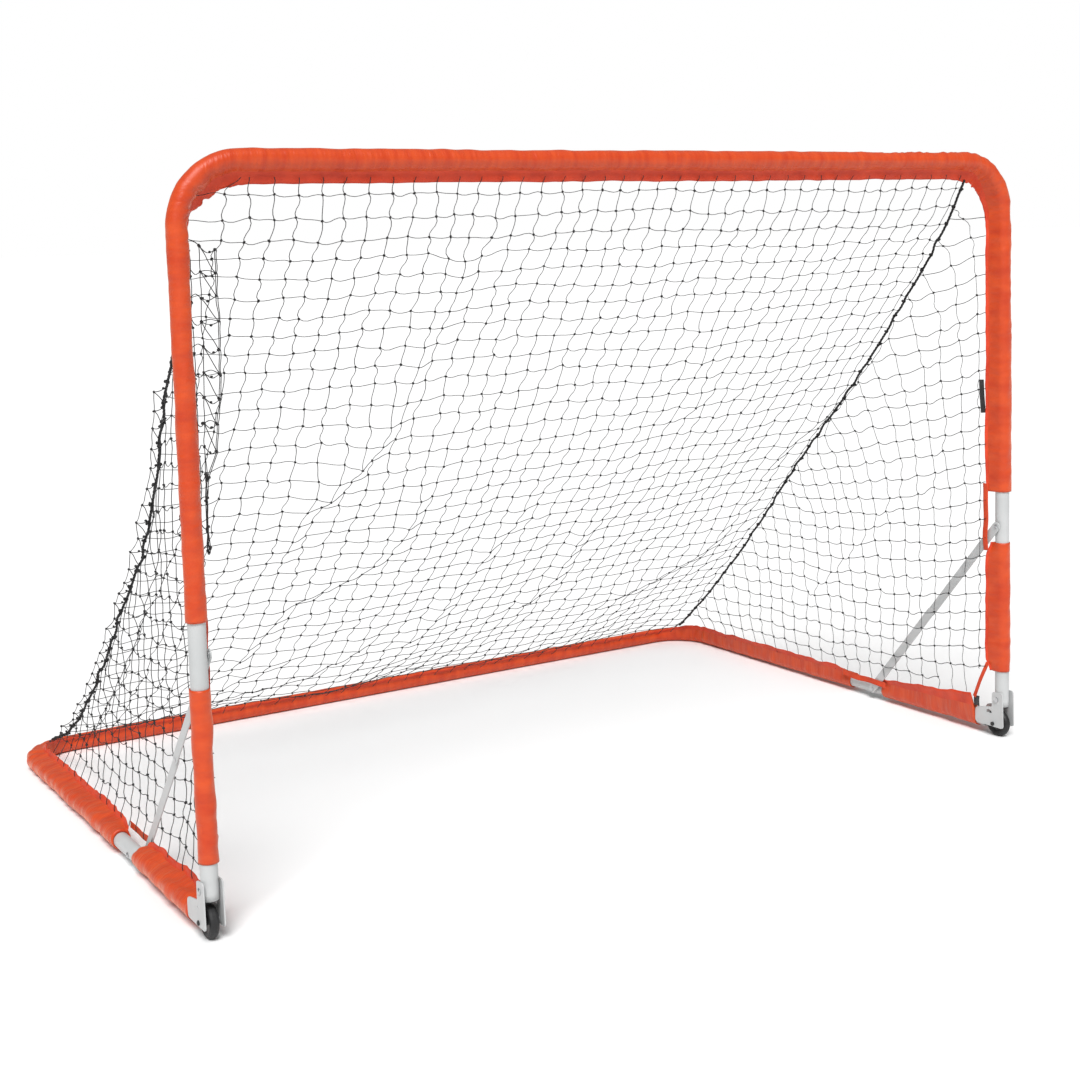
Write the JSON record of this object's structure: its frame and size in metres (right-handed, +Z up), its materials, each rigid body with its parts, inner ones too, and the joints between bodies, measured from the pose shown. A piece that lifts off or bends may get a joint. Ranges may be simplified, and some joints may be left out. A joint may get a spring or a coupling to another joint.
{
  "type": "folding soccer goal",
  "caption": "Folding practice soccer goal: a cloth-sleeved tube frame with a knotted net, folding side struts, and small wheels at the front corners.",
  "frame": {"origin": "on the ground, at the middle of the goal's footprint", "axes": "+X along the crossbar, +Y from the mouth to the back bar, +Z up"},
  "size_m": [1.8358, 1.1835, 1.252],
  "materials": {
    "white_paint": "light grey-white powder coat, semi-gloss",
    "zinc": "zinc-plated fasteners, satin",
    "black_oxide": "black oxide on the axle bolt's head, satin",
    "orange_cloth": "orange coated nylon, plain weave, wrinkled",
    "orange_webbing": "orange nylon binding tape, stitched",
    "hook_and_loop": "black hook-and-loop tape, matt pile",
    "tyre_rubber": "black rubber, satin",
    "black_plastic": "black moulded plastic",
    "net_twine": "black twisted polyethylene twine, knotted",
    "braided_rope": "black braided cord"
  },
  "bodies": {
    "base_frame": {"base_tube_left": "white_paint", "base_tube_right": "white_paint", "hinge_plate_left_outer": "white_paint", "hinge_plate_left_inner": "white_paint", "hinge_plate_right_outer": "white_paint", "hinge_plate_right_inner": "white_paint", "axle_bolt_left": "black_oxide", "axle_bolt_right": "black_oxide", "plate_rivet_left": "white_paint", "plate_rivet_right": "white_paint", "base_spigot": "zinc", "pivot_bolt_left": "zinc", "pivot_bolt_right": "zinc", "strut_bolt_left": "zinc", "strut_bolt_right": "zinc", "lower_washer_left": "zinc", "lower_washer_right": "zinc", "wheel_spacer_left_outer": "zinc", "wheel_spacer_left_inner": "zinc", "wheel_spacer_right_outer": "zinc", "wheel_spacer_right_inner": "zinc", "rear_base_sleeve": "orange_cloth", "front_base_sleeve_left": "orange_cloth", "front_base_sleeve_right": "orange_cloth", "base_gap_strap_left": "orange_webbing", "base_gap_strap_right": "orange_webbing", "corner_strap_left": "orange_webbing", "corner_strap_right": "orange_webbing", "base_closure_left": "hook_and_loop", "base_closure_right": "hook_and_loop", "back_net": "net_twine", "side_net_left": "net_twine", "side_net_right": "net_twine", "corner_rope_left": "braided_rope", "corner_rope_right": "braided_rope"},
    "front_frame": {"front_tube_left": "white_paint", "front_tube_right": "white_paint", "crossbar_spigot": "zinc", "top_sleeve": "orange_cloth", "post_closure_right": "hook_and_loop", "post_plug_left": "black_plastic", "post_plug_right": "black_plastic", "strut_rivet_left": "zinc", "strut_rivet_right": "zinc", "upper_washer_left": "zinc", "upper_washer_right": "zinc", "lower_sleeve_left": "orange_cloth", "lower_sleeve_right": "orange_cloth", "post_gap_strap_left": "orange_webbing", "post_gap_strap_right": "orange_webbing"},
    "upper_link_left": {"upper_link_left": "white_paint", "mid_rivet_left": "zinc"},
    "lower_link_left": {"lower_link_left": "white_paint"},
    "wheel_left": {"wheel_hub_left": "black_plastic", "wheel_tyre_left": "tyre_rubber"},
    "upper_link_right": {"upper_link_right": "white_paint", "mid_rivet_right": "zinc"},
    "lower_link_right": {"lower_link_right": "white_paint"},
    "wheel_right": {"wheel_hub_right": "black_plastic", "wheel_tyre_right": "tyre_rubber"}
  },
  "joints": [
    {"name": "front_fold", "type": "hinge", "parent": "base_frame", "child": "front_frame", "pos_m": [0, -0.57275, 0.084], "axis": [-1, 0, 0], "range_deg": [0, 90], "deforming": ["back_net", "side_net_left", "side_net_right", "corner_rope_left", "corner_rope_right", "corner_strap_left", "corner_strap_right"]},
    {"name": "upper_link_left_pivot", "type": "hinge", "parent": "front_frame", "child": "upper_link_left", "pos_m": [-0.8796, -0.57275, 0.463], "axis": [-1, 0, 0], "range_deg": [0, 35]},
    {"name": "lower_link_left_pivot", "type": "hinge", "parent": "base_frame", "child": "lower_link_left", "pos_m": [-0.8776, -0.19275, 0.02519], "axis": [1, 0, 0], "range_deg": [0, 45]},
    {"name": "wheel_left_spin", "type": "hinge", "parent": "base_frame", "child": "wheel_left", "pos_m": [-0.8976, -0.56275, 0.029], "axis": [1, 0, 0], "continuous": true},
    {"name": "upper_link_right_pivot", "type": "hinge", "parent": "front_frame", "child": "upper_link_right", "pos_m": [0.8796, -0.57275, 0.463], "axis": [-1, 0, 0], "range_deg": [0, 35]},
    {"name": "lower_link_right_pivot", "type": "hinge", "parent": "base_frame", "child": "lower_link_right", "pos_m": [0.8776, -0.19275, 0.02519], "axis": [1, 0, 0], "range_deg": [0, 45]},
    {"name": "wheel_right_spin", "type": "hinge", "parent": "base_frame", "child": "wheel_right", "pos_m": [0.8976, -0.56275, 0.029], "axis": [1, 0, 0], "continuous": true}
  ],
  "couplings": [
    {"joint": "upper_link_left_pivot", "follows": "front_fold", "ratio": 0.3797},
    {"joint": "lower_link_left_pivot", "follows": "front_fold", "ratio": 0.4911},
    {"joint": "upper_link_right_pivot", "follows": "front_fold", "ratio": 0.3797},
    {"joint": "lower_link_right_pivot", "follows": "front_fold", "ratio": 0.4911}
  ]
}
